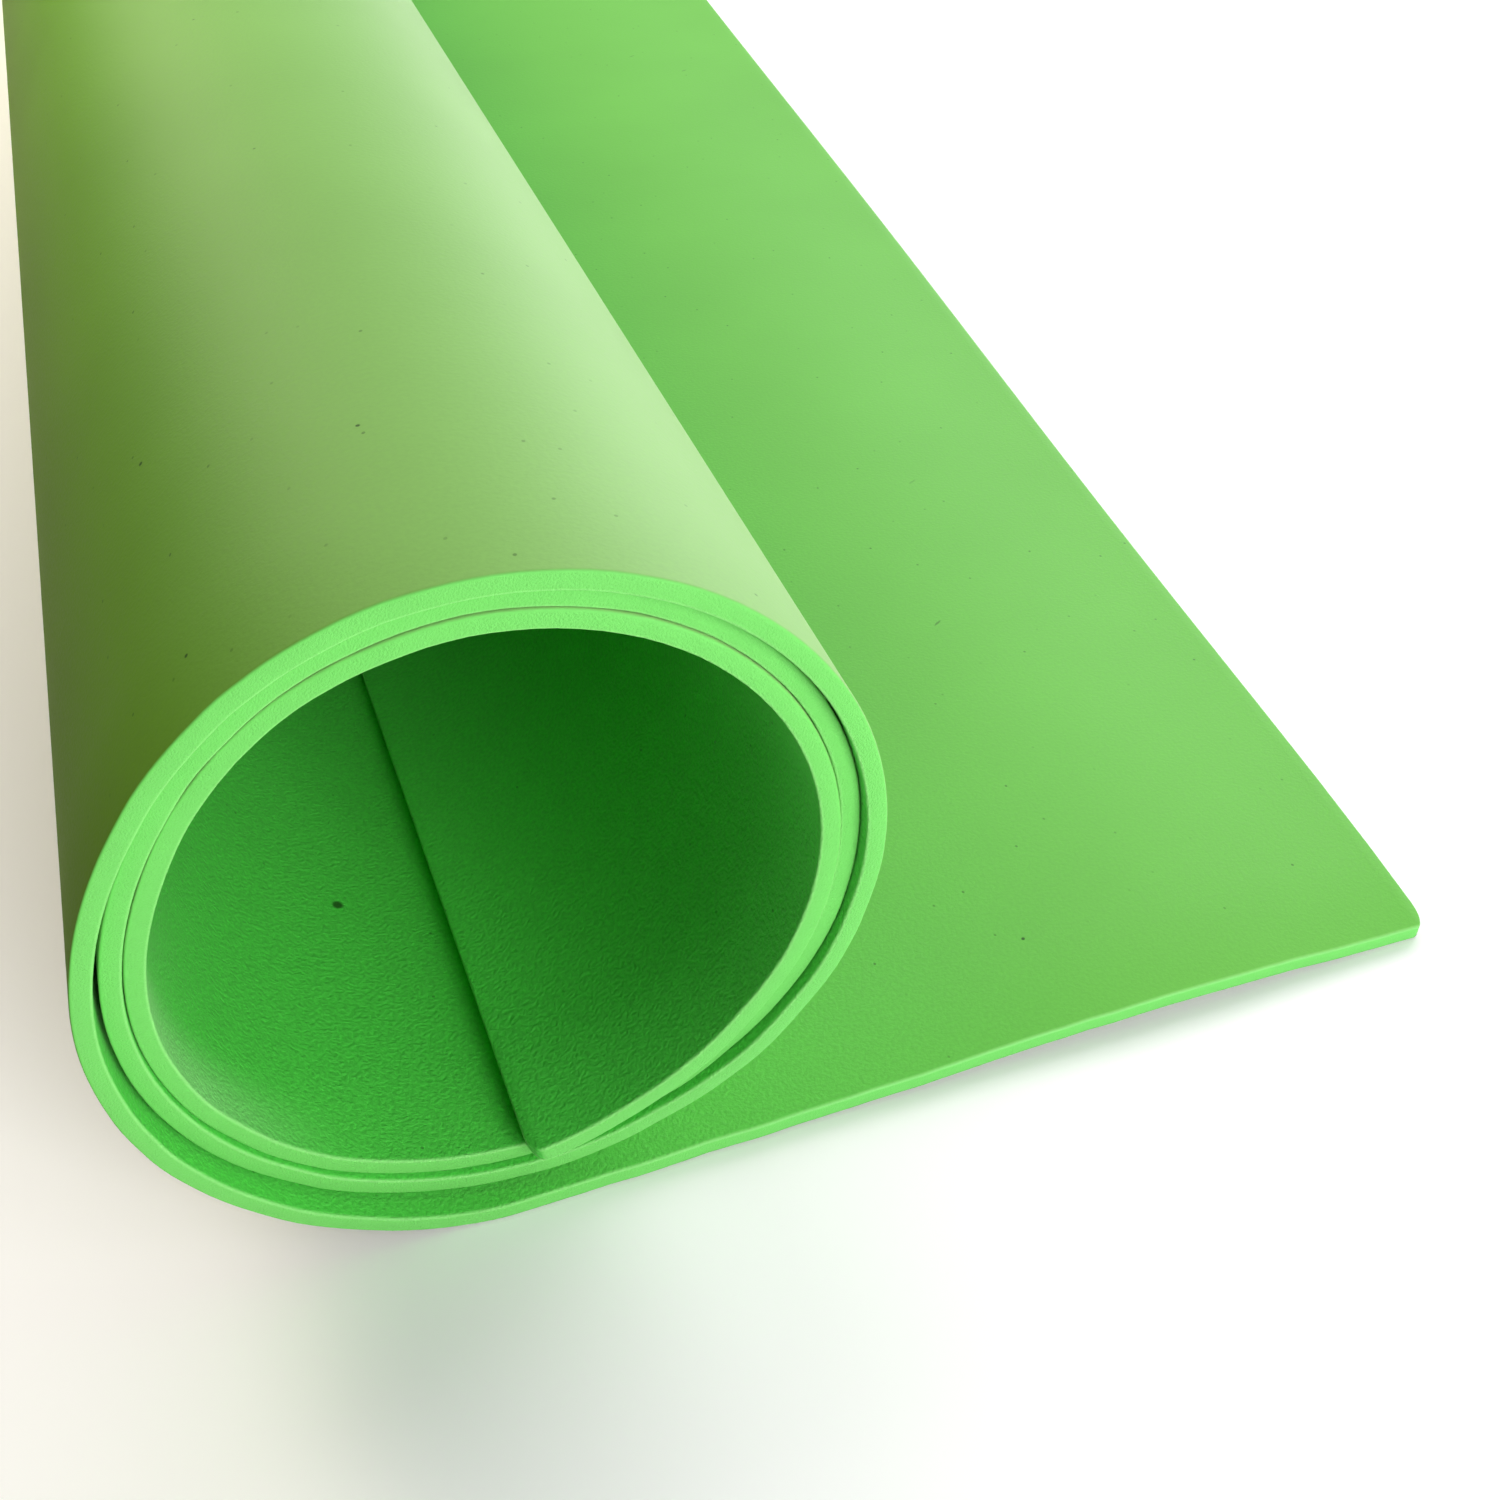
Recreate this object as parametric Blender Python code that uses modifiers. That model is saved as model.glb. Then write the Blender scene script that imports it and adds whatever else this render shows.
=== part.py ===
"""Craft foam sheet, rolled loosely to almost three turns, with its outer end lying out flat as a flap.

Metres, +Z up. The roll lies along Y with its near end at -Y, and the flap lies out along +X.
The origin is on the floor, below the middle of the whole sheet's bounding box.
"""

import math

import bmesh
import bpy
from mathutils import Matrix, Vector

# The sheet, as cut: the width lies along the roll, and the length is wound up
THICKNESS = 0.0018
WIDTH = 0.500
LENGTH = 0.700

# The roll's section. Turns are counted inwards from the line where the outer turn leaves the floor.
MEAN_RADIUS = 0.03524
TURNS = 2.98
LEAST_GAP = 0.00028
LOOSE_GAP = 0.0010
TIGHTENING = 1.6
ROLL_TAPER = math.atan(0.005)
OVAL_RISE = 0.00255
OVAL_LEAN = math.radians(31)
CROWN_BULGE = 0.00033
CROWN_AT = math.radians(180)
CROWN_SPREAD = math.radians(40)
SIDE_BULGE = 0.00018
SIDE_AT = math.radians(285)
SIDE_SPREAD = math.radians(45)

# The flap's near edge turns back a little towards its corner
FLAP_EDGE_SKEW = math.radians(1.5)

# The inner end, which lies on the turn below it
SEAM_LEAN = math.radians(1.7)
SEAM_FAIR = math.radians(120)

# How far the turns have slipped along the roll, so that the near end isn't flush
SLIP_PER_TURN = 0.0032
SLIP_EASING = 0.0008
END_TILT = 0.0035
END_TILT_TURN = math.radians(9)
CORNER_REACH = 0.0012
CORNER_SPREAD = math.radians(75)

# Facets
FACET_ANGLE = math.radians(10)
FLAP_CELLS = 8
WIDTH_CELLS = 8

ROLL_ANGLE = TURNS * math.tau
ROLL_CELLS = math.ceil(ROLL_ANGLE / FACET_ANGLE)
FOAM_COLOR = (0.20, 0.60, 0.13, 1.0)
FOAM_ROUGHNESS = 0.85


def clear_scene():
    for obj in list(bpy.data.objects):
        bpy.data.objects.remove(obj, do_unlink=True)


def wound_in(turns):
    """How much nearer the middle the sheet lies after so many turns: a thickness and a gap for each."""
    tight = (THICKNESS + LEAST_GAP) * turns
    return tight + LOOSE_GAP * (1 - math.exp(-TIGHTENING * turns))


def swell(angle, height, at, spread):
    """A smooth rise of the outer turn, where it stands off the next one."""
    return height * math.exp(-(((angle - at) / spread) ** 2))


def middle_radius(angle, across):
    """From the roll's axis to the middle of the sheet. The angle runs inwards, from straight down."""
    first_step = (THICKNESS + LEAST_GAP + LOOSE_GAP * TIGHTENING) / math.tau
    level_at_floor = first_step - 2 * OVAL_RISE * math.sin(2 * OVAL_LEAN)
    oval = OVAL_RISE * math.cos(2 * (angle - OVAL_LEAN)) + level_at_floor * math.sin(angle)
    crown = swell(angle, CROWN_BULGE, CROWN_AT, CROWN_SPREAD)
    side = swell(angle, SIDE_BULGE, SIDE_AT, SIDE_SPREAD)
    return MEAN_RADIUS - wound_in(angle / math.tau) + oval + crown + side - across * math.tan(ROLL_TAPER)


def near_edge(angle):
    """How far back from the front of the outer turn the sheet's near edge lies."""
    turns = angle / math.tau
    slipped = SLIP_PER_TURN * turns - SLIP_EASING * turns * turns
    tilted = END_TILT * (math.sin(angle + END_TILT_TURN) - math.sin(END_TILT_TURN))
    into_corner = max(0.0, angle - (ROLL_ANGLE - CORNER_SPREAD)) / CORNER_SPREAD
    return slipped + tilted - CORNER_REACH * into_corner**2


def roll_point(angle, across):
    """A point of the sheet's middle on the roll, with the inner end's lean faired in."""
    fair = max(0.0, 1 - (ROLL_ANGLE - angle) / SEAM_FAIR)
    edge = near_edge(angle)
    angle += fair * across * math.tan(SEAM_LEAN) / middle_radius(ROLL_ANGLE, 0)
    radius = middle_radius(angle, across)
    axis_height = middle_radius(0, across) + THICKNESS / 2
    return Vector((-radius * math.sin(angle), edge + across, axis_height - radius * math.cos(angle)))


def wound_points(across):
    """The sheet's middle round the roll, one point for each facet's edge, from the floor inwards."""
    angles = [min(cell * FACET_ANGLE, ROLL_ANGLE) for cell in range(ROLL_CELLS + 1)]
    return [roll_point(angle, across) for angle in angles]


def flap_points(across, flap_length):
    """The sheet's middle on the flap, from its free end to just short of the roll."""
    shares = [1 - cell / FLAP_CELLS for cell in range(FLAP_CELLS)]
    outs = [share * flap_length for share in shares]
    return [Vector((out, across + out * math.tan(FLAP_EDGE_SKEW), THICKNESS / 2)) for out in outs]


def sheet_row(across):
    """One row of points along the whole sheet: what isn't wound up lies out as the flap."""
    wound = wound_points(across)
    flap_length = LENGTH - sum((b - a).length for a, b in zip(wound, wound[1:]))
    return flap_points(across, flap_length) + wound


def rolled_mesh(name):
    """A flat grid in the sheet's own coordinates, with each point moved to where the rolled sheet lies."""
    columns = FLAP_CELLS + ROLL_CELLS
    rows = [sheet_row(WIDTH * row / WIDTH_CELLS) for row in range(WIDTH_CELLS + 1)]
    shape = bmesh.new()
    bmesh.ops.create_grid(shape, x_segments=columns, y_segments=WIDTH_CELLS, size=0.5)
    for vertex in shape.verts:
        row = round((vertex.co.y + 0.5) * WIDTH_CELLS)
        column = round((vertex.co.x + 0.5) * columns)
        vertex.co = rows[row][column]
    mesh = bpy.data.meshes.new(name)
    shape.to_mesh(mesh)
    shape.free()
    return mesh


def foam_material():
    material = bpy.data.materials.new("eva_foam")
    material.use_nodes = True
    shader = material.node_tree.nodes["Principled BSDF"]
    shader.inputs["Base Color"].default_value = FOAM_COLOR
    shader.inputs["Roughness"].default_value = FOAM_ROUGHNESS
    shader.inputs["Metallic"].default_value = 0.0
    return material


def set_on_origin(obj):
    """Moves the mesh so that the solid's box stands centred on the origin."""
    bpy.context.view_layer.update()
    corners = [Vector(corner) for corner in obj.evaluated_get(bpy.context.evaluated_depsgraph_get()).bound_box]
    low = Vector(min(corner[axis] for corner in corners) for axis in range(3))
    high = Vector(max(corner[axis] for corner in corners) for axis in range(3))
    obj.data.transform(Matrix.Translation((-(low.x + high.x) / 2, -(low.y + high.y) / 2, -low.z)))


def foam_sheet(collection):
    mesh = rolled_mesh("foam_sheet")
    mesh.materials.append(foam_material())
    obj = bpy.data.objects.new("foam_sheet", mesh)
    collection.objects.link(obj)
    wall = obj.modifiers.new("thickness", "SOLIDIFY")
    wall.thickness = THICKNESS
    wall.offset = 0
    wall.use_even_offset = True
    set_on_origin(obj)
    mesh.shade_smooth()
    mesh.set_sharp_from_angle(angle=math.radians(40))
    return obj


def main():
    clear_scene()
    collection = bpy.data.collections.new("craft_foam_sheet")
    bpy.context.scene.collection.children.link(collection)
    foam_sheet(collection)


main()
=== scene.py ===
# %% [markdown]
# # A sheet of craft foam, loosely rolled
#
# The object is one sheet of bright green EVA foam, 500 by 700 mm and not quite 2 mm thick. It is rolled up
# loosely to almost three turns. Its outer end lies out on the table as a flap, and its inner end lies free
# inside the roll. Nothing is joined to it: every shape here comes from one flat sheet that was cut,
# rolled up and let go.

# %% Load the frame
import math

import bmesh
import bpy
from mathutils import Euler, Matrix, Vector


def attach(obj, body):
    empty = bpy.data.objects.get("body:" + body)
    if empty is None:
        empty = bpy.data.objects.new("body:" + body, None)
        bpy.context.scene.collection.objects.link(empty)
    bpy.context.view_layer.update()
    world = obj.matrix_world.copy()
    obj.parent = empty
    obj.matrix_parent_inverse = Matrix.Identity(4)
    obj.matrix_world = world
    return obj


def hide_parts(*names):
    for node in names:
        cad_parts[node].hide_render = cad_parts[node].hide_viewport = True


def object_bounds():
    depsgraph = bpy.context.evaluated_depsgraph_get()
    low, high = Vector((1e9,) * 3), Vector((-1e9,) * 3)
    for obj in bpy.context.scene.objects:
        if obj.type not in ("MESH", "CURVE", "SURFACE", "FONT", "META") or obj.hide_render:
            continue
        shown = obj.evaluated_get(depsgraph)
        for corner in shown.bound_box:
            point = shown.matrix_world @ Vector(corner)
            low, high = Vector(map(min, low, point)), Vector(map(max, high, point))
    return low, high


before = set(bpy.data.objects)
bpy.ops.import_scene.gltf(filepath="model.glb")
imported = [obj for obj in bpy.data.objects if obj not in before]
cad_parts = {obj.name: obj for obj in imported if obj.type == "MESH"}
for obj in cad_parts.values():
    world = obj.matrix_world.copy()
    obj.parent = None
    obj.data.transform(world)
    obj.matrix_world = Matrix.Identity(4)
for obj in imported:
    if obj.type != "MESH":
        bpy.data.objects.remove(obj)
CAD_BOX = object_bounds()
print("CAD box", [tuple(round(value, 4) for value in corner) for corner in CAD_BOX])

# %% [markdown]
# ## The camera
#
# The photograph was taken close to the near end of the roll, from above and a little to its left. So near,
# the front of the roll looks far bigger than the rest, and the two sides of the roll run together strongly.
# The camera's height and its distance matter more than its lens here: a long lens from further away would
# give the same outline at the front, but sides that run nearly parallel.

# %% Place the camera
CAMERA_PLACE = (-0.0629, -0.3508, 0.1443)
CAMERA_DOWN = math.radians(41.23)
CAMERA_RIGHT = math.radians(19.32)
SENSOR = 36.0
LENS = 41.99
NEAREST_SEEN = 0.005

camera_data = bpy.data.cameras.new("camera")
camera_data.sensor_width = SENSOR
camera_data.lens = LENS
camera_data.clip_start = NEAREST_SEEN
camera = bpy.data.objects.new("camera", camera_data)
camera.location = CAMERA_PLACE
camera.rotation_euler = Euler((math.pi / 2 - CAMERA_DOWN, 0, -CAMERA_RIGHT))
bpy.context.scene.collection.objects.link(camera)
bpy.context.scene.camera = camera
print("camera at", CAMERA_PLACE, "with a lens of", LENS, "mm")

# %% [markdown]
# ## Small helpers
#
# Colours are written as the hex values that a paint program shows. Those are sRGB values, but a renderer adds
# up light in linear ones, so one function converts them. The other helper adds a node to any tree, geometry
# or material, with its settings and its links in one line, and link() gives a node its inputs. A node that
# is passed as an input is linked by the first of its outputs that is in use.

# %% Helpers
def linear(hex_colour):
    """An sRGB colour such as "#4caf50" as linear RGBA."""
    values = [int(hex_colour[place:place + 2], 16) / 255 for place in (1, 3, 5)]
    return (*[v / 12.92 if v <= 0.04045 else ((v + 0.055) / 1.055) ** 2.4 for v in values], 1.0)


def link(tree, node, *values):
    """Gives a node its inputs in order: each a number, a node or a socket, or None to leave that one."""
    usable = [socket for socket in node.inputs if socket.enabled]
    for socket, value in zip(usable, values):
        if isinstance(value, bpy.types.Node):
            tree.links.new(next(output for output in value.outputs if output.enabled), socket)
        elif isinstance(value, bpy.types.NodeSocket):
            tree.links.new(value, socket)
        elif value is not None:
            socket.default_value = value


def add(tree, kind, *values, **settings):
    """A new node with its settings, and its inputs as link() gives them."""
    made = tree.nodes.new(kind)
    for name, value in settings.items():
        setattr(made, name, value)
    link(tree, made, *values)
    return made


MATH = "ShaderNodeMath"
MIX = "ShaderNodeMix"
NOISE = "ShaderNodeTexNoise"
RAMP = "ShaderNodeMapRange"
VECTOR_MATH = "ShaderNodeVectorMath"
GROUP = "GeometryNodeGroup"

# %% [markdown]
# ## The flat sheet
#
# A foam sheet is cut from a block and then to size with a blade, so it starts as a flat slab with square
# cut edges and nearly sharp corners. The soft foam springs back a little at the cut, which rounds its edges
# by a few tenths of a millimetre. It could be modelled as a thin cube. A grid with a Solidify and a Bevel
# modifier is better, because the grid gives the many columns that the sheet needs to bend smoothly later.

# %% Cut the flat sheet
LENGTH = 0.700
WIDTH = 0.500
THICKNESS = 0.00184
COLUMNS = 480
ROWS = 40
CORNER_ROUND = 0.0034
CORNER_FACETS = 6
EDGE_ROUND = 0.00025
EDGE_FACETS = 3
SHARPER_THAN = math.radians(60)


def flat_sheet(name):
    """The sheet as it was cut: x runs from its outer end, y from its near edge, and z is 0 at its middle."""
    shape = bmesh.new()
    bmesh.ops.create_grid(shape, x_segments=COLUMNS, y_segments=ROWS, size=0.5)
    for vertex in shape.verts:
        vertex.co.x = (vertex.co.x + 0.5) * LENGTH
        vertex.co.y = (vertex.co.y + 0.5) * WIDTH
    corners = [vertex for vertex in shape.verts if len(vertex.link_faces) == 1]
    bmesh.ops.bevel(shape, geom=corners, offset=CORNER_ROUND, segments=CORNER_FACETS, profile=0.5,
                    affect="VERTICES")
    mesh = bpy.data.meshes.new(name)
    shape.to_mesh(mesh)
    shape.free()
    sheet = bpy.data.objects.new(name, mesh)
    bpy.context.scene.collection.objects.link(sheet)
    wall = sheet.modifiers.new("thickness", "SOLIDIFY")
    wall.thickness = THICKNESS
    wall.offset = 0
    softened = sheet.modifiers.new("softened edges", "BEVEL")
    softened.width = EDGE_ROUND
    softened.segments = EDGE_FACETS
    softened.limit_method = "ANGLE"
    softened.angle_limit = SHARPER_THAN
    return sheet


foam = flat_sheet("foam_sheet_rolled")
print("flat sheet", len(foam.data.vertices), "points before its thickness")

# %% [markdown]
# ## Rolling it up
#
# What the eye takes for several rings is one long spiral, and it follows a rule: with each turn the sheet
# lies one thickness and one gap nearer the middle. It could be drawn as a curve and extruded, but then the
# slipped turns, the taper and the flap would each need mending by hand. Here a Geometry Nodes tree moves
# every point of the flat sheet instead. It works out how far round the roll a point lies from how far along
# the sheet it is, then how far from the axis, and puts it there. The sizes are the tree's inputs, so the same
# tree rolls up any sheet.
#
# The sheet isn't wound on a core, so the section isn't round. It is an oval that leans a little, and its
# outer turn stands off the next one, most of all on the left. The turns have slipped along the roll, and the
# cut edge isn't quite straight: it wavers by a tenth of a millimetre and bows out towards the flap's corner.

# %% Sizes of the roll
ROLL_INPUTS = {
    "Length": LENGTH,
    "Thickness": THICKNESS,
    "Flap": 0.1058,
    "Turns": 2.98,
    "Mean Radius": 0.03522,
    "Turn Step": 0.00188,
    "Loose Gap": 0.0009,
    "Tightening": 2.2,
    "Oval Rise": 0.00253,
    "Oval Lean": math.radians(31),
    "Crown Bulge": 0.00033,
    "Crown At": math.radians(180),
    "Crown Spread": math.radians(36),
    "Side Bulge": -0.0001,
    "Side At": math.radians(250),
    "Side Spread": math.radians(35),
    "Taper": 0.005,
    "Slip": 0.0032,
    "Slip Easing": 0.0008,
    "End Tilt": 0.0035,
    "End Tilt Turn": math.radians(9),
    "Inner Reach": 0.0019,
    "Inner Reach Over": math.radians(75),
    "Seam Lean": 0.0303,
    "Seam Fair": math.radians(120),
    "Edge Skew": math.tan(math.radians(1.5)),
    "Edge Bow": 0.0008,
    "Edge Waver": 0.00012,
    "Waver Length": 0.011,
    "Flap Arch": 0.00104,
    "Arch Place": 1.744,
    "Edge Wave": 0.00058,
    "Wave Start": 0.0888,
    "Wave Stretch": 0.522,
}
ROLL_LINE_X = -0.0536
CUT_IN_FROM_BOX = 0.00216
NEAR_EDGE_Y = CAD_BOX[0].y + CUT_IN_FROM_BOX
print("wound length", round(LENGTH - ROLL_INPUTS["Flap"], 4), "m of", LENGTH, "m")


def group_inputs(tree, defaults):
    """Gives the tree one float input for each size, with its usual value."""
    for name, value in defaults.items():
        socket = tree.interface.new_socket(name, in_out="INPUT", socket_type="NodeSocketFloat")
        socket.default_value = value


# %% [markdown]
# ### A swelling
#
# Where a turn stands off the next one, it does so over a part of the way round and settles again on both
# sides. It could be a key point on a curve, but then its place and its width would be hard to set. A bell
# curve round one angle has just those two sizes and its height, so it is a small tree of its own.

# %% The tree for a swelling
def swelling_tree():
    """A smooth rise of the sheet round one angle, or a dip where the height is negative."""
    tree = bpy.data.node_groups.new("Swelling of a turn", "GeometryNodeTree")
    group_inputs(tree, {"Angle": 0.0, "Height": 0.0003, "At": math.pi, "Spread": 0.7})
    tree.interface.new_socket("Rise", in_out="OUTPUT", socket_type="NodeSocketFloat")
    given = add(tree, "NodeGroupInput").outputs
    off = add(tree, MATH, given["Angle"], given["At"], operation="SUBTRACT")
    off = add(tree, MATH, off, given["Spread"], operation="DIVIDE")
    squared = add(tree, MATH, off, off, operation="MULTIPLY")
    fading = add(tree, MATH, add(tree, MATH, squared, -1.0, operation="MULTIPLY"), operation="EXPONENT")
    add(tree, "NodeGroupOutput", add(tree, MATH, fading, given["Height"], operation="MULTIPLY"))
    return tree


SWELLING_TREE = swelling_tree()
print(SWELLING_TREE.name, len(SWELLING_TREE.nodes), "nodes")


# %% [markdown]
# ### The radius
#
# How far out the sheet lies at an angle comes from the turns below it, from the oval, from the swellings and
# from the taper, added up. With each turn goes one step, and a gap that closes up inwards, because the inner
# turns press outwards on the next. The sheet also has to leave the table level, or the flap would start with
# a kink. So a sideways shift of the whole section takes away the slope that the spiral and the leaning oval
# have there.

# %% The tree that finds the radius
def radius_tree():
    """From the roll's axis to the middle of the sheet, at an angle and a distance across the sheet."""
    tree = bpy.data.node_groups.new("Radius of the roll", "GeometryNodeTree")
    names = ("Turn Step", "Loose Gap", "Tightening", "Mean Radius", "Oval Rise", "Oval Lean",
             "Crown Bulge", "Crown At", "Crown Spread", "Side Bulge", "Side At", "Side Spread", "Taper")
    group_inputs(tree, {"Angle": 0.0, "Across": 0.0, **{name: ROLL_INPUTS[name] for name in names}})
    tree.interface.new_socket("Radius", in_out="OUTPUT", socket_type="NodeSocketFloat")
    given = add(tree, "NodeGroupInput").outputs
    angle = given["Angle"]
    turns = add(tree, MATH, angle, math.tau, operation="DIVIDE")
    tighter = add(tree, MATH, turns, given["Tightening"], operation="MULTIPLY")
    still_loose = add(tree, MATH, add(tree, MATH, tighter, -1.0, operation="MULTIPLY"), operation="EXPONENT")
    taken_up = add(tree, MATH, 1.0, still_loose, operation="SUBTRACT")
    gaps = add(tree, MATH, taken_up, given["Loose Gap"], operation="MULTIPLY")
    wound_in = add(tree, MATH, turns, given["Turn Step"], gaps, operation="MULTIPLY_ADD")
    round_radius = add(tree, MATH, given["Mean Radius"], wound_in, operation="SUBTRACT")

    leaning = add(tree, MATH, angle, given["Oval Lean"], operation="SUBTRACT")
    twice = add(tree, MATH, leaning, 2.0, operation="MULTIPLY")
    oval = add(tree, MATH, twice, operation="COSINE")
    oval = add(tree, MATH, oval, given["Oval Rise"], operation="MULTIPLY")

    first_step = add(tree, MATH, given["Loose Gap"], given["Tightening"], given["Turn Step"],
                     operation="MULTIPLY_ADD")
    first_step = add(tree, MATH, first_step, math.tau, operation="DIVIDE")
    lean_twice = add(tree, MATH, given["Oval Lean"], 2.0, operation="MULTIPLY")
    lean_rise = add(tree, MATH, add(tree, MATH, lean_twice, operation="SINE"), given["Oval Rise"],
                    operation="MULTIPLY")
    level = add(tree, MATH, lean_rise, -2.0, first_step, operation="MULTIPLY_ADD")
    sideways = add(tree, MATH, add(tree, MATH, angle, operation="SINE"), level, operation="MULTIPLY")

    crown = add(tree, GROUP, node_tree=SWELLING_TREE)
    side = add(tree, GROUP, node_tree=SWELLING_TREE)
    link(tree, crown, angle, given["Crown Bulge"], given["Crown At"], given["Crown Spread"])
    link(tree, side, angle, given["Side Bulge"], given["Side At"], given["Side Spread"])

    narrower = add(tree, MATH, given["Across"], given["Taper"], operation="MULTIPLY")
    total = add(tree, MATH, round_radius, narrower, operation="SUBTRACT")
    for rise in (oval, sideways, crown, side):
        total = add(tree, MATH, total, rise, operation="ADD")
    add(tree, "NodeGroupOutput", total)
    return tree, names


RADIUS_TREE, RADIUS_NAMES = radius_tree()
print(RADIUS_TREE.name, len(RADIUS_TREE.nodes), "nodes")


# %% [markdown]
# ### How far round, and how far back
#
# The sheet's length says how far round the roll a point lies. If each turn had the same radius, the angle
# would be the length divided by it. The radius shrinks evenly instead, so the length grows with the square of
# the angle, and the angle is the smaller root of that equation.
#
# The near end isn't flush. Each turn has slipped back a little on the one outside it, less and less inwards.
# The cut is also a little out of square with the roll, which shows as a tilt that comes and goes once a turn.
# At the inner end the corner reaches forward again, because nothing holds it.

# %% The angle round the roll, and the slip along it
def angle_round(tree, given, along):
    """The whole angle that the sheet is wound through, and the angle at a place along it."""
    past_flap = add(tree, MATH, along, given["Flap"], operation="SUBTRACT")
    wound = add(tree, MATH, past_flap, 0.0, operation="MAXIMUM")
    all_wound = add(tree, MATH, given["Length"], given["Flap"], operation="SUBTRACT")
    full_angle = add(tree, MATH, given["Turns"], math.tau, operation="MULTIPLY")
    wound_in = add(tree, MATH, given["Turns"], given["Turn Step"], given["Loose Gap"],
                   operation="MULTIPLY_ADD")
    per_radian = add(tree, MATH, wound_in, full_angle, operation="DIVIDE")
    half_angle = add(tree, MATH, full_angle, 2.0, operation="DIVIDE")
    mean_radius = add(tree, MATH, all_wound, full_angle, operation="DIVIDE")
    start_radius = add(tree, MATH, per_radian, half_angle, mean_radius, operation="MULTIPLY_ADD")
    squared = add(tree, MATH, start_radius, start_radius, operation="MULTIPLY")
    twice_wound = add(tree, MATH, wound, -2.0, operation="MULTIPLY")
    root = add(tree, MATH, twice_wound, per_radian, squared, operation="MULTIPLY_ADD")
    root = add(tree, MATH, root, operation="SQRT")
    turned = add(tree, MATH, start_radius, root, operation="SUBTRACT")
    return full_angle, add(tree, MATH, turned, per_radian, operation="DIVIDE")


def slip_back(tree, given, turned, left):
    """How far back from the front of the outer turn the sheet's near edge lies."""
    turns = add(tree, MATH, turned, math.tau, operation="DIVIDE")
    eased = add(tree, MATH, given["Slip Easing"], turns, operation="MULTIPLY")
    step = add(tree, MATH, given["Slip"], eased, operation="SUBTRACT")
    tilt_at = add(tree, MATH, turned, given["End Tilt Turn"], operation="ADD")
    tilt_at = add(tree, MATH, tilt_at, operation="SINE")
    tilt_from = add(tree, MATH, given["End Tilt Turn"], operation="SINE")
    tilt = add(tree, MATH, tilt_at, tilt_from, operation="SUBTRACT")
    tilt = add(tree, MATH, tilt, given["End Tilt"], operation="MULTIPLY")
    slipped = add(tree, MATH, turns, step, tilt, operation="MULTIPLY_ADD")
    into_end = add(tree, MATH, left, given["Inner Reach Over"], operation="DIVIDE")
    into_end = add(tree, MATH, 1.0, into_end, operation="SUBTRACT")
    into_end = add(tree, MATH, into_end, 0.0, operation="MAXIMUM")
    into_end = add(tree, MATH, into_end, into_end, operation="MULTIPLY")
    reach = add(tree, MATH, into_end, given["Inner Reach"], operation="MULTIPLY")
    return add(tree, MATH, slipped, reach, operation="SUBTRACT")


# %% [markdown]
# ### The flap
#
# What isn't wound up lies out flat. The roll is narrower at its far end, so it takes up less of the sheet
# there, and the flap is longer. The sheet keeps some of its curl, so the flap doesn't lie quite flat: it
# arches a little in the middle, and its free edge lifts in a shallow wave. The edge itself is a blade's cut
# by hand, so it bows and wavers a little.

# %% The flap's spread, its lift and its edge
def flap_out(tree, given, along, across, full_angle):
    """How far out a point of the flap lies, and its share of the way from the roll to the free end."""
    spread = add(tree, MATH, full_angle, given["Taper"], operation="MULTIPLY")
    spread = add(tree, MATH, spread, given["Seam Lean"], operation="SUBTRACT")
    flap_here = add(tree, MATH, across, spread, given["Flap"], operation="MULTIPLY_ADD")
    share = add(tree, MATH, along, given["Flap"], operation="DIVIDE")
    share = add(tree, MATH, 1.0, share, operation="SUBTRACT")
    share = add(tree, MATH, share, 0.0, operation="MAXIMUM")
    return add(tree, MATH, share, flap_here, operation="MULTIPLY"), share


def flap_lift(tree, given, across, share):
    """The height of the flap's arch and of the wave in its free edge."""
    arch = add(tree, MATH, share, given["Arch Place"], operation="POWER")
    arch = add(tree, MATH, arch, math.pi, operation="MULTIPLY")
    arch = add(tree, MATH, arch, operation="SINE")
    arch = add(tree, MATH, arch, arch, operation="MULTIPLY")
    wave = add(tree, MATH, across, given["Wave Start"], operation="DIVIDE")
    wave = add(tree, MATH, wave, given["Wave Stretch"], operation="POWER")
    wave = add(tree, MATH, wave, math.pi, operation="MULTIPLY")
    wave = add(tree, MATH, wave, operation="SINE")
    wave = add(tree, MATH, wave, share, operation="MULTIPLY")
    wave = add(tree, MATH, wave, 2.0, operation="POWER")
    wave = add(tree, MATH, wave, given["Edge Wave"], operation="MULTIPLY")
    return add(tree, MATH, arch, given["Flap Arch"], wave, operation="MULTIPLY_ADD")


WAVER_RANGE = (0.25, 0.75)


def wavering_edge(tree, given, along, share, slipped):
    """The near edge's place with the waver and the bow of a cut that a hand made."""
    per_metre = add(tree, MATH, 1.0, given["Waver Length"], operation="DIVIDE")
    waver = add(tree, NOISE, along, per_metre, 2.0, noise_dimensions="1D")
    waver = add(tree, RAMP, waver, *WAVER_RANGE, -1.0, 1.0)
    edge = add(tree, MATH, waver, given["Edge Waver"], slipped, operation="MULTIPLY_ADD")
    bowed = add(tree, MATH, share, 3.0, operation="POWER")
    bowed = add(tree, MATH, bowed, given["Edge Bow"], operation="MULTIPLY")
    return add(tree, MATH, edge, bowed, operation="SUBTRACT")


# %% [markdown]
# ### All of it together
#
# The tree takes the angle at a place along the sheet, leans the inner end's edge so that the seam inside the
# roll runs askew, and asks the radius tree how far out that point lies. Each face lies half a thickness to
# its own side. The point's flat place is stored with it, because the material needs it.

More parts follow.
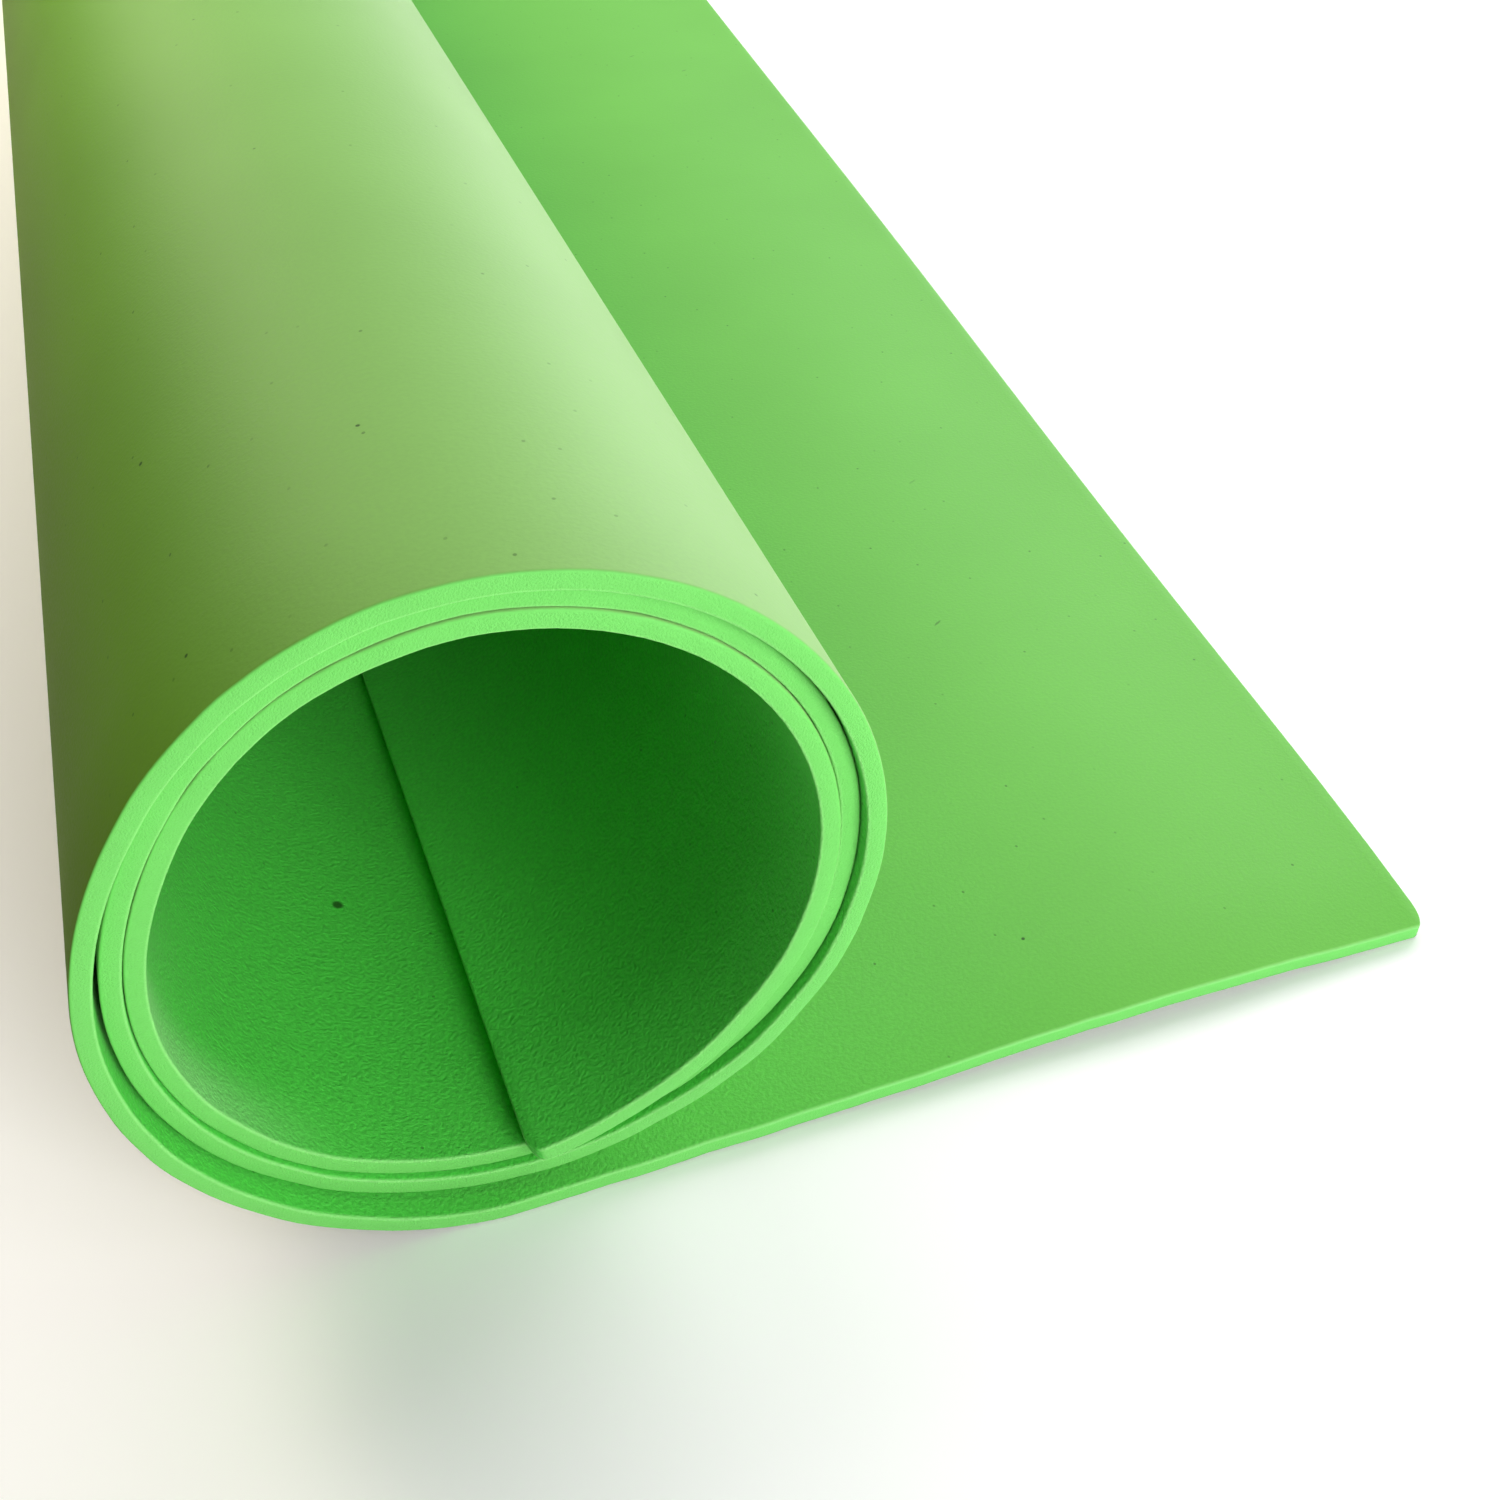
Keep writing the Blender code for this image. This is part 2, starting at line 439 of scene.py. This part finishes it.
# %% The tree that rolls up the sheet
def seam_angle(tree, given, across, left, turned, end_radius):
    """The angle with the inner end's lean added, which fades out within a part of a turn."""
    fair = add(tree, MATH, left, given["Seam Fair"], operation="DIVIDE")
    fair = add(tree, MATH, 1.0, fair, operation="SUBTRACT")
    fair = add(tree, MATH, fair, 0.0, operation="MAXIMUM")
    leaned = add(tree, MATH, across, given["Seam Lean"], operation="MULTIPLY")
    leaned = add(tree, MATH, leaned, fair, operation="MULTIPLY")
    leaned = add(tree, MATH, leaned, end_radius, operation="DIVIDE")
    return add(tree, MATH, turned, leaned, operation="ADD")


def rolling_tree():
    """Moves each point of a flat sheet to where the rolled sheet has it, and keeps its flat place."""
    tree = bpy.data.node_groups.new("Roll up a sheet", "GeometryNodeTree")
    tree.interface.new_socket("Sheet", in_out="INPUT", socket_type="NodeSocketGeometry")
    group_inputs(tree, ROLL_INPUTS)
    tree.interface.new_socket("Foam", in_out="INPUT", socket_type="NodeSocketMaterial")
    tree.interface.new_socket("Rolled", in_out="OUTPUT", socket_type="NodeSocketGeometry")
    given = add(tree, "NodeGroupInput").outputs
    flat = add(tree, "GeometryNodeInputPosition")
    along, across, above = add(tree, "ShaderNodeSeparateXYZ", flat).outputs

    full_angle, turned = angle_round(tree, given, along)
    left = add(tree, MATH, full_angle, turned, operation="SUBTRACT")
    slipped = slip_back(tree, given, turned, left)

    sizes = [given[name] for name in RADIUS_NAMES]
    floor_radius = add(tree, GROUP, node_tree=RADIUS_TREE)
    end_radius = add(tree, GROUP, node_tree=RADIUS_TREE)
    radius = add(tree, GROUP, node_tree=RADIUS_TREE)
    angle = seam_angle(tree, given, across, left, turned, end_radius)
    link(tree, floor_radius, 0.0, across, *sizes)
    link(tree, end_radius, full_angle, 0.0, *sizes)
    link(tree, radius, angle, across, *sizes)
    face_radius = add(tree, MATH, radius, above, operation="SUBTRACT")
    half = add(tree, MATH, given["Thickness"], 2.0, operation="DIVIDE")
    axis_height = add(tree, MATH, floor_radius, half, operation="ADD")

    out, share = flap_out(tree, given, along, across, full_angle)
    lifted = flap_lift(tree, given, across, share)
    edge = wavering_edge(tree, given, along, share, slipped)

    aside = add(tree, MATH, add(tree, MATH, angle, operation="SINE"), face_radius, operation="MULTIPLY")
    down = add(tree, MATH, add(tree, MATH, angle, operation="COSINE"), face_radius, operation="MULTIPLY")
    back = add(tree, MATH, across, edge, operation="ADD")
    x = add(tree, MATH, out, aside, operation="SUBTRACT")
    y = add(tree, MATH, out, given["Edge Skew"], back, operation="MULTIPLY_ADD")
    z = add(tree, MATH, axis_height, down, operation="SUBTRACT")
    z = add(tree, MATH, z, lifted, operation="ADD")
    place = add(tree, "ShaderNodeCombineXYZ", x, y, z)

    stored = add(tree, "GeometryNodeStoreNamedAttribute", given["Sheet"], None, "flat", flat,
                 data_type="FLOAT_VECTOR", domain="POINT")
    rolled = add(tree, "GeometryNodeSetPosition", stored, None, place)
    real = add(tree, "GeometryNodeRealizeInstances", rolled)
    finished = add(tree, "GeometryNodeSetMaterial", real, None, given["Foam"])
    add(tree, "NodeGroupOutput", finished)
    return tree


ROLLING_TREE = rolling_tree()
print(ROLLING_TREE.name, len(ROLLING_TREE.nodes), "nodes")

# %% [markdown]
# ## EVA foam
#
# Craft foam is closed-cell ethylene-vinyl acetate, coloured all through. Its two faces are split or moulded
# skins with a fine orange peel, a little under half a millimetre from bump to bump. They are matte. The outer
# face is painted with the roll's light and shade: olive where it lies in shade, darkest near the roll's ends,
# and pale where the window's light and sheen fall on it. The flap is painted a little paler, for the sheen of
# the light on it, and is smoother. Inside the near end, on the left, the inner face has a painted sheen where
# it is seen edge-on. The blade opens the cells at the cut edges, which scatter more light, so those look
# paler, and a painted highlight makes them palest along their inner crest. Dust and lint leave sparse dark
# specks, and there are a few bolder crumbs.
#
# All of this is one material, because it is one foam.

# %% Colours
SKIN = "#4dc145"
# Painted light: the flap's green, made paler for the sheen of the light on it.
SKIN_LIT = "#64b245"
# Painted shade and light on the outer face: olive in shade, yellow green above, pale in the window's light.
OUTSIDE_SHADED = "#517503"
OUTSIDE_UPPER = "#73b539"
OUTSIDE_LIT = "#84b26a"
CUT = "#6ac45b"
# A painted highlight along the cut's inner crest.
CREST_HIGHLIGHT = "#9be488"
# A painted sheen on the inner face, by the open end, where it is seen edge-on.
PAINTED_SHEEN = "#8fd083"
LINT = "#1c3d12"
SHEEN_TINT = "#e4ffd0"

# %% [markdown]
# ### Where a point lies
#
# A real pattern is in the sheet before it is rolled up. Noise laid out in the room would cut straight through
# the turns instead. So each pattern reads the flat place that the tree stored, in millimetres: a scale of one
# over a size then gives the pattern that size. The distance to the sheet's edge says where the cut is, and
# the height above the sheet's middle says which face a point is on.

# %% Places on the sheet
MM_IN_METRE = 1000.0


def places_on_sheet(tree):
    """Where a point lies on the flat sheet, in millimetres, and its distances from the cut edges."""
    flat = add(tree, "ShaderNodeAttribute", attribute_name="flat")
    in_mm = add(tree, VECTOR_MATH, flat.outputs["Vector"], operation="SCALE")
    in_mm.inputs["Scale"].default_value = MM_IN_METRE
    along, across, above = add(tree, "ShaderNodeSeparateXYZ", in_mm).outputs
    other_end = add(tree, MATH, LENGTH * MM_IN_METRE, along, operation="SUBTRACT")
    other_side = add(tree, MATH, WIDTH * MM_IN_METRE, across, operation="SUBTRACT")
    from_ends = add(tree, MATH, along, other_end, operation="MINIMUM")
    from_sides = add(tree, MATH, across, other_side, operation="MINIMUM")
    return in_mm, along, above, from_ends, from_sides


# %% [markdown]
# ### The two faces
#
# The inner face is the foam's own green, painted a little paler on the flap for the sheen of the light on it.
# The outer one goes from olive through yellow green to a pale top, as painted shade on the side away from the
# light and painted light and sheen on the side towards the window. These bands run along the roll, so they
# are laid out by the distance from the sheet's outer end. By the roll's open end, a pale patch on the inner
# face is a painted sheen, where that face is seen edge-on. The places below are in millimetres.

# %% The faces' colours
OUTER_FACE = (-0.8, -0.5)
INNER_FACE = (0.5, 0.8)
FLAP_END = (30.0, 125.0)
SIDE_TO_UPPER = (166.0, 220.0)
UPPER_TO_TOP = (190.0, 244.0)
# The outer colour is darker towards the roll's ends and lighter inwards, as painted shade and light.
SHADE_NEAR_ENDS_REACH = (30.0, 150.0)
SHADE_NEAR_ENDS_TONE = (0.8, 1.12)
# Where the painted sheen patch on the inner face lies, and how strong it is.
SHEEN_PATCH_AT = 553.0
SHEEN_PATCH_ALONG = (4.0, 24.0)
SHEEN_PATCH_ACROSS = (0.5, 9.0)
SHEEN_PATCH_SHARE = 0.6


def faces_in_light(tree, along, above, from_sides):
    """The two faces' colour with its painted light and shade, how smooth they are, and which part of the
    outside lies away from the light.
    """
    outside = add(tree, RAMP, above, *OUTER_FACE, 1.0, 0.0, interpolation_type="SMOOTHSTEP")
    on_flap = add(tree, RAMP, along, *FLAP_END, 1.0, 0.0, interpolation_type="SMOOTHSTEP")
    on_side = add(tree, RAMP, along, *SIDE_TO_UPPER, 0.0, 1.0, interpolation_type="SMOOTHSTEP")
    on_top = add(tree, RAMP, along, *UPPER_TO_TOP, 0.0, 1.0, interpolation_type="SMOOTHSTEP")
    # Painted light and shade: the flap paler for its sheen, the outside from shaded olive to a lit, pale top.
    inner = add(tree, MIX, on_flap, linear(SKIN), linear(SKIN_LIT), data_type="RGBA")
    outer = add(tree, MIX, on_side, linear(OUTSIDE_SHADED), linear(OUTSIDE_UPPER), data_type="RGBA")
    outer = add(tree, VECTOR_MATH, outer, operation="SCALE")
    # Painted shade near the roll's ends, painted light further in.
    painted_shade_near_ends = add(tree, RAMP, from_sides, *SHADE_NEAR_ENDS_REACH, *SHADE_NEAR_ENDS_TONE)
    tree.links.new(painted_shade_near_ends.outputs[0], outer.inputs["Scale"])
    outer = add(tree, MIX, on_top, outer, linear(OUTSIDE_LIT), data_type="RGBA")
    smooth = add(tree, MATH, on_flap, outside, operation="MAXIMUM")
    off_top = add(tree, MATH, 1.0, on_top, operation="SUBTRACT")
    shaded = add(tree, MATH, off_top, outside, operation="MULTIPLY")
    return add(tree, MIX, outside, inner, outer, data_type="RGBA"), smooth, shaded


def sheen_patch_mask(tree, along, above, from_sides):
    """How much painted sheen the inner face gets, by the roll's open end."""
    off_patch = add(tree, MATH, along, SHEEN_PATCH_AT, operation="SUBTRACT")
    off_patch = add(tree, MATH, off_patch, operation="ABSOLUTE")
    at_patch = add(tree, RAMP, off_patch, *SHEEN_PATCH_ALONG, SHEEN_PATCH_SHARE, 0.0, interpolation_type="SMOOTHSTEP")
    by_side = add(tree, RAMP, from_sides, *SHEEN_PATCH_ACROSS, 1.0, 0.0, interpolation_type="SMOOTHSTEP")
    inner_face = add(tree, RAMP, above, *INNER_FACE, 0.0, 1.0)
    by_side = add(tree, MATH, by_side, inner_face, operation="MULTIPLY")
    return add(tree, MATH, at_patch, by_side, operation="MULTIPLY")


# %% [markdown]
# ### The cut, and its crest
#
# The cut is the narrow band all round where the distance to the sheet's edge is next to nothing. Its crest is
# the corner between the cut and the inner face, and its pale colour is a painted highlight, where that corner
# catches the light.

# %% Cut and crest
CUT_REACH = (0.03, 0.18)
# Where the crest's painted highlight lies, and how strong it is.
CREST_HEIGHT = (0.62, 0.8)
CREST_REACH = (0.15, 0.4)
CREST_SHARE = 0.4


def cut_and_highlight(tree, above, from_ends, from_sides):
    """How much of the cut shows at a point, and how much of the crest's painted highlight along it."""
    from_edge = add(tree, MATH, from_ends, from_sides, operation="MINIMUM")
    cut = add(tree, RAMP, from_edge, *CUT_REACH, 1.0, 0.0)
    near_face = add(tree, RAMP, above, *CREST_HEIGHT, 0.0, 1.0)
    near_side = add(tree, RAMP, from_sides, *CREST_REACH, 1.0, 0.0)
    crest = add(tree, MATH, near_face, near_side, operation="MULTIPLY")
    return cut, add(tree, MATH, crest, CREST_SHARE, operation="MULTIPLY")


# %% [markdown]
# ### Grain
#
# The peel is a noise just under half a millimetre from bump to bump. It is only some hundredths of a
# millimetre high, so it is a bump, and its hollows are also painted a little darker, as painted shade. It is
# weaker where the skin is smooth. A far larger noise makes the green uneven by a few parts in a hundred, as
# the dye in foam is.

# %% Peel, cells and mottle
PEEL_SIZE = 0.42
CELL_SIZE = 0.2
MOTTLE_SIZE = 45.0
NOISE_RANGE = (0.3, 0.7)
# How much darker the peel's hollows are painted, as painted shade, on rough and on smooth skin.
PEEL_SHADE_TONE = (0.13, 0.035)
MOTTLE_TONE = (0.95, 1.04)
BUMP_HEIGHT = 0.00015
BUMP_STRENGTH = (1.0, 0.2)


def skin_tone(tree, in_mm, peel, smooth):
    """How light the green is at a point: the peel's grain with painted shade in its hollows, and the mottle,
    together about one.
    """
    grain = add(tree, RAMP, peel, *NOISE_RANGE, -1.0, 1.0)
    hollow_shade = add(tree, RAMP, smooth, 0.0, 1.0, *PEEL_SHADE_TONE)
    grain = add(tree, MATH, grain, hollow_shade, 1.0, operation="MULTIPLY_ADD")
    mottle = add(tree, NOISE, in_mm, 1 / MOTTLE_SIZE, 3.0, 0.5)
    mottle = add(tree, RAMP, mottle, *NOISE_RANGE, *MOTTLE_TONE)
    tone = add(tree, MATH, mottle, grain, operation="MULTIPLY")
    return add(tree, "ShaderNodeCombineXYZ", tone, tone, tone)


def relief_bump(tree, in_mm, peel, cut, smooth):
    """The peel of the skins as a bump, and the finer open cells of the cut."""
    cells = add(tree, NOISE, in_mm, 1 / CELL_SIZE, 2.0, 0.7)
    relief = add(tree, MIX, cut, peel, cells, data_type="FLOAT")
    strength = add(tree, RAMP, smooth, 0.0, 1.0, *BUMP_STRENGTH)
    bump = add(tree, "ShaderNodeBump", strength, BUMP_HEIGHT)
    link(tree, bump, None, None, None, relief)
    return bump


# %% [markdown]
# ### Dust, lint and crumbs
#
# Dust is round and close together, and lint is long and rare, but both are one pattern: a random point in
# each cell of a plane, with a size and a stretch. It has to be a pattern of the plane. In space, the sheet
# would cut past most of the points and hardly any speck would show. Five crumbs are bolder and lie at places
# of their own, in millimetres along, across and above the sheet's middle, each with its radius.

# %% Dark marks
LINT_MARKS = {"spacing": 30.0, "size": 0.2, "longer": 4.0, "turn": 0.6}
DUST_MARKS = {"spacing": 6.0, "size": 0.17, "longer": 1.3, "turn": 2.0}
MARK_SHARE = 0.6
MARK_CORE = 0.6
CRUMB_SHARE = 0.85
CRUMB_CORE = 0.55
CRUMBS = (
    ((526.1, 35.0, 0.92), 0.72),
    ((196.0, 37.6, -0.92), 0.3),
    ((197.6, 7.5, -0.92), 0.24),
    ((215.2, 23.6, -0.92), 0.22),
    ((44.4, 12.6, 0.92), 0.26),
)


def specks(tree, in_mm, spacing, size, longer, turn):
    """Sparse dark marks: one in each cell of a random pattern, in half of the cells, faint or dark."""
    turned = add(tree, "ShaderNodeVectorRotate", in_mm, rotation_type="Z_AXIS")
    turned.inputs["Angle"].default_value = turn
    stretched = add(tree, VECTOR_MATH, turned, (1.0 / longer, 1.0, 0.0), operation="MULTIPLY")
    cells = add(tree, "ShaderNodeTexVoronoi", stretched, voronoi_dimensions="2D")
    cells.inputs["Scale"].default_value = 1 / spacing
    near = add(tree, RAMP, cells.outputs["Distance"], MARK_CORE * size / spacing, size / spacing, 1.0, 0.0)
    kept = add(tree, "ShaderNodeSeparateColor", cells.outputs["Color"]).outputs[0]
    kept = add(tree, RAMP, kept, 0.5, 1.0, 0.0, 1.0)
    return add(tree, MATH, near, kept, operation="MULTIPLY")


def dark_marks(tree, in_mm):
    """How dark the dust, the lint or a crumb makes a point."""
    lint = specks(tree, in_mm, **LINT_MARKS)
    dust = specks(tree, in_mm, **DUST_MARKS)
    marks = add(tree, MATH, lint, dust, operation="MAXIMUM")
    marks = add(tree, MATH, marks, MARK_SHARE, operation="MULTIPLY")
    for place, radius in CRUMBS:
        away = add(tree, VECTOR_MATH, in_mm, place, operation="DISTANCE")
        crumb = add(tree, RAMP, away, CRUMB_CORE * radius, radius, CRUMB_SHARE, 0.0)
        marks = add(tree, MATH, marks, crumb, operation="MAXIMUM")
    return marks


# %% [markdown]
# ### The material
#
# The colours go on one over the other: the faces with their painted light and shade, the painted sheen
# patch, the tone of the grain, the cut through all of it, the painted highlight on its crest, and last the
# dirt. The foam scatters light widely and has only a weak gloss. The outside's shaded part hardly shines at
# all, or it would look grey instead of olive.

# %% The foam's material
ROUGHNESS = (0.52, 0.62)
GLOSS = (0.22, 0.02)
SHEEN = (0.09, 0.01)
SHEEN_ROUGHNESS = 0.3
REFRACTION = 1.5


def foam_colour(tree, faces, sheen_patch, tone, cut, crest, marks):
    """The foam's colour, one layer on the other."""
    # The painted sheen patch goes on first, and the painted highlight of the crest after the cut.
    faces_with_sheen = add(tree, MIX, sheen_patch, faces.outputs[2], linear(PAINTED_SHEEN), data_type="RGBA")
    toned = add(tree, VECTOR_MATH, faces_with_sheen, tone, operation="MULTIPLY")
    opened = add(tree, MIX, cut, toned, linear(CUT), data_type="RGBA")
    highlighted = add(tree, MIX, crest, opened, linear(CREST_HIGHLIGHT), data_type="RGBA")
    return add(tree, MIX, marks, highlighted, linear(LINT), data_type="RGBA")


def eva_foam():
    """Matte closed-cell foam, green all through, with its two skins, its paler cut, its dirt, and painted
    light, shade, sheen and highlight.
    """
    material = bpy.data.materials.new("eva_foam_matte_green")
    material.use_nodes = True
    tree = material.node_tree
    shader = tree.nodes["Principled BSDF"]
    in_mm, along, above, from_ends, from_sides = places_on_sheet(tree)
    peel = add(tree, NOISE, in_mm, 1 / PEEL_SIZE, 2.0, 0.6)
    faces, smooth, shaded = faces_in_light(tree, along, above, from_sides)
    cut, crest = cut_and_highlight(tree, above, from_ends, from_sides)
    sheen_patch = sheen_patch_mask(tree, along, above, from_sides)
    tone = skin_tone(tree, in_mm, peel, smooth)
    colour = foam_colour(tree, faces, sheen_patch, tone, cut, crest, dark_marks(tree, in_mm))
    bump = relief_bump(tree, in_mm, peel, cut, smooth)
    roughness = add(tree, RAMP, peel, *NOISE_RANGE, *ROUGHNESS)
    gloss = add(tree, RAMP, shaded, 0.0, 1.0, *GLOSS)
    sheen = add(tree, RAMP, shaded, 0.0, 1.0, *SHEEN)
    tree.links.new(colour.outputs[2], shader.inputs["Base Color"])
    tree.links.new(bump.outputs[0], shader.inputs["Normal"])
    tree.links.new(roughness.outputs[0], shader.inputs["Roughness"])
    tree.links.new(gloss.outputs[0], shader.inputs["Specular IOR Level"])
    tree.links.new(sheen.outputs[0], shader.inputs["Sheen Weight"])
    shader.inputs["IOR"].default_value = REFRACTION
    shader.inputs["Sheen Roughness"].default_value = SHEEN_ROUGHNESS
    shader.inputs["Sheen Tint"].default_value = linear(SHEEN_TINT)
    return material


FOAM = eva_foam()
print(FOAM.name, len(FOAM.node_tree.nodes), "nodes")

# %% [markdown]
# ## Roll up the sheet and give it to the frame
#
# The modifier's inputs are set by each socket's identifier, before anything looks at the result. The result
# then becomes a plain mesh, so that what is kept no longer depends on the tree, and it is moved in the mesh
# to where the CAD model lies. The piece stands for the CAD sheet, which is hidden, and it is attached to the
# frame's root.

# %% Make the piece
def rolled_up(sheet):
    """The sheet with its modifiers, as one plain mesh in the CAD model's place."""
    rolling = sheet.modifiers.new("roll up", "NODES")
    rolling.node_group = ROLLING_TREE
    for item in ROLLING_TREE.interface.items_tree:
        if item.in_out == "INPUT" and item.name in ROLL_INPUTS:
            rolling[item.identifier] = ROLL_INPUTS[item.name]
        elif item.name == "Foam":
            rolling[item.identifier] = FOAM
    bpy.context.view_layer.update()
    seen = sheet.evaluated_get(bpy.context.evaluated_depsgraph_get())
    mesh = bpy.data.meshes.new_from_object(seen)
    sheet.modifiers.clear()
    sheet.data = mesh
    for vertex in mesh.vertices:
        vertex.co.x += ROLL_LINE_X
        vertex.co.y += NEAR_EDGE_Y
    mesh.shade_smooth()
    return sheet


foam = rolled_up(foam)
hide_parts("foam_sheet")
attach(foam, "root")
triangles = sum(len(face.vertices) - 2 for face in foam.data.polygons)
print("rolled sheet", len(foam.data.vertices), "points", triangles, "triangles")

# %% [markdown]
# ## Floor and light
#
# The photograph has a plain white ground, with soft light that comes from behind on the right, so the roll
# is palest there and darkens to the left. The cut ends face the camera and are bright, so there is light from
# the front as well. A light above and behind clears the ground's shadows, one beyond the roll's far end keeps
# that end bright, and a weak warm one from the left gives the shaded side its olive tone.

# %% Floor
WHITE = "#ffffff"
FLOOR_HALF = 4.0
FLOOR_BELOW = 0.0001
PAINT_ROUGHNESS = 0.9
PAINT_GLOSS = 0.2


def pale_floor():
    """A plain white table, wide enough to fill the view, a hair below the sheet."""
    shape = bmesh.new()
    bmesh.ops.create_grid(shape, x_segments=1, y_segments=1, size=FLOOR_HALF)
    mesh = bpy.data.meshes.new("floor")
    shape.to_mesh(mesh)
    shape.free()
    material = bpy.data.materials.new("pale_matt_paint")
    material.use_nodes = True
    shader = material.node_tree.nodes["Principled BSDF"]
    shader.inputs["Base Color"].default_value = linear(WHITE)
    shader.inputs["Roughness"].default_value = PAINT_ROUGHNESS
    shader.inputs["Specular IOR Level"].default_value = PAINT_GLOSS
    mesh.materials.append(material)
    floor = bpy.data.objects.new("floor", mesh)
    floor.location.z = -FLOOR_BELOW
    bpy.context.scene.collection.objects.link(floor)


pale_floor()
print("floor", 2 * FLOOR_HALF, "m across")


# %% Light
def soft_light(name, place, target, size, watts, colour):
    """A square area light that faces a point."""
    data = bpy.data.lights.new(name, "AREA")
    data.size = size
    data.energy = watts
    data.color = linear(colour)[:3]
    light = bpy.data.objects.new(name, data)
    light.location = place
    direction = Vector(target) - Vector(place)
    light.rotation_euler = direction.to_track_quat("-Z", "Y").to_euler()
    bpy.context.scene.collection.objects.link(light)


WARM_WHITE = "#fff4e0"
AMBER = "#ffb050"
NEAR_END = (-0.055, -0.25, 0.035)
FAR_PART = (-0.05, 0.15, 0.035)
soft_light("window", (1.3, 0.9, 0.8), NEAR_END, 1.6, 38.0, WHITE)
soft_light("overhead", (-0.1, 0.9, 1.4), NEAR_END, 1.2, 9.5, WHITE)
soft_light("near_front", (0.15, -0.8, 0.25), NEAR_END, 0.35, 4.3, WHITE)
soft_light("near_right", (0.3, -0.6, 0.45), NEAR_END, 0.35, 0.6, WHITE)
soft_light("far_left", (-0.35, 0.5, 0.42), FAR_PART, 0.4, 5.5, WARM_WHITE)
soft_light("low_left", (-1.0, 0.0, 0.3), NEAR_END, 0.5, 0.75, AMBER)
print("lights", [light.name for light in bpy.data.lights])

# %% [markdown]
# ## Surroundings
#
# Hardly any light comes from all around. A trace of it is enough to keep the deepest part of the roll from
# going black. The view transform is the plain one, so the hex colours above keep their hue in the picture.

# %% World and view
WORLD_STRENGTH = 0.01
world = bpy.data.worlds.new("studio")
world.use_nodes = True
background = world.node_tree.nodes["Background"]
background.inputs["Color"].default_value = linear(WHITE)
background.inputs["Strength"].default_value = WORLD_STRENGTH
bpy.context.scene.world = world
bpy.context.scene.view_settings.view_transform = "Standard"
print(world.name, "world at", WORLD_STRENGTH)
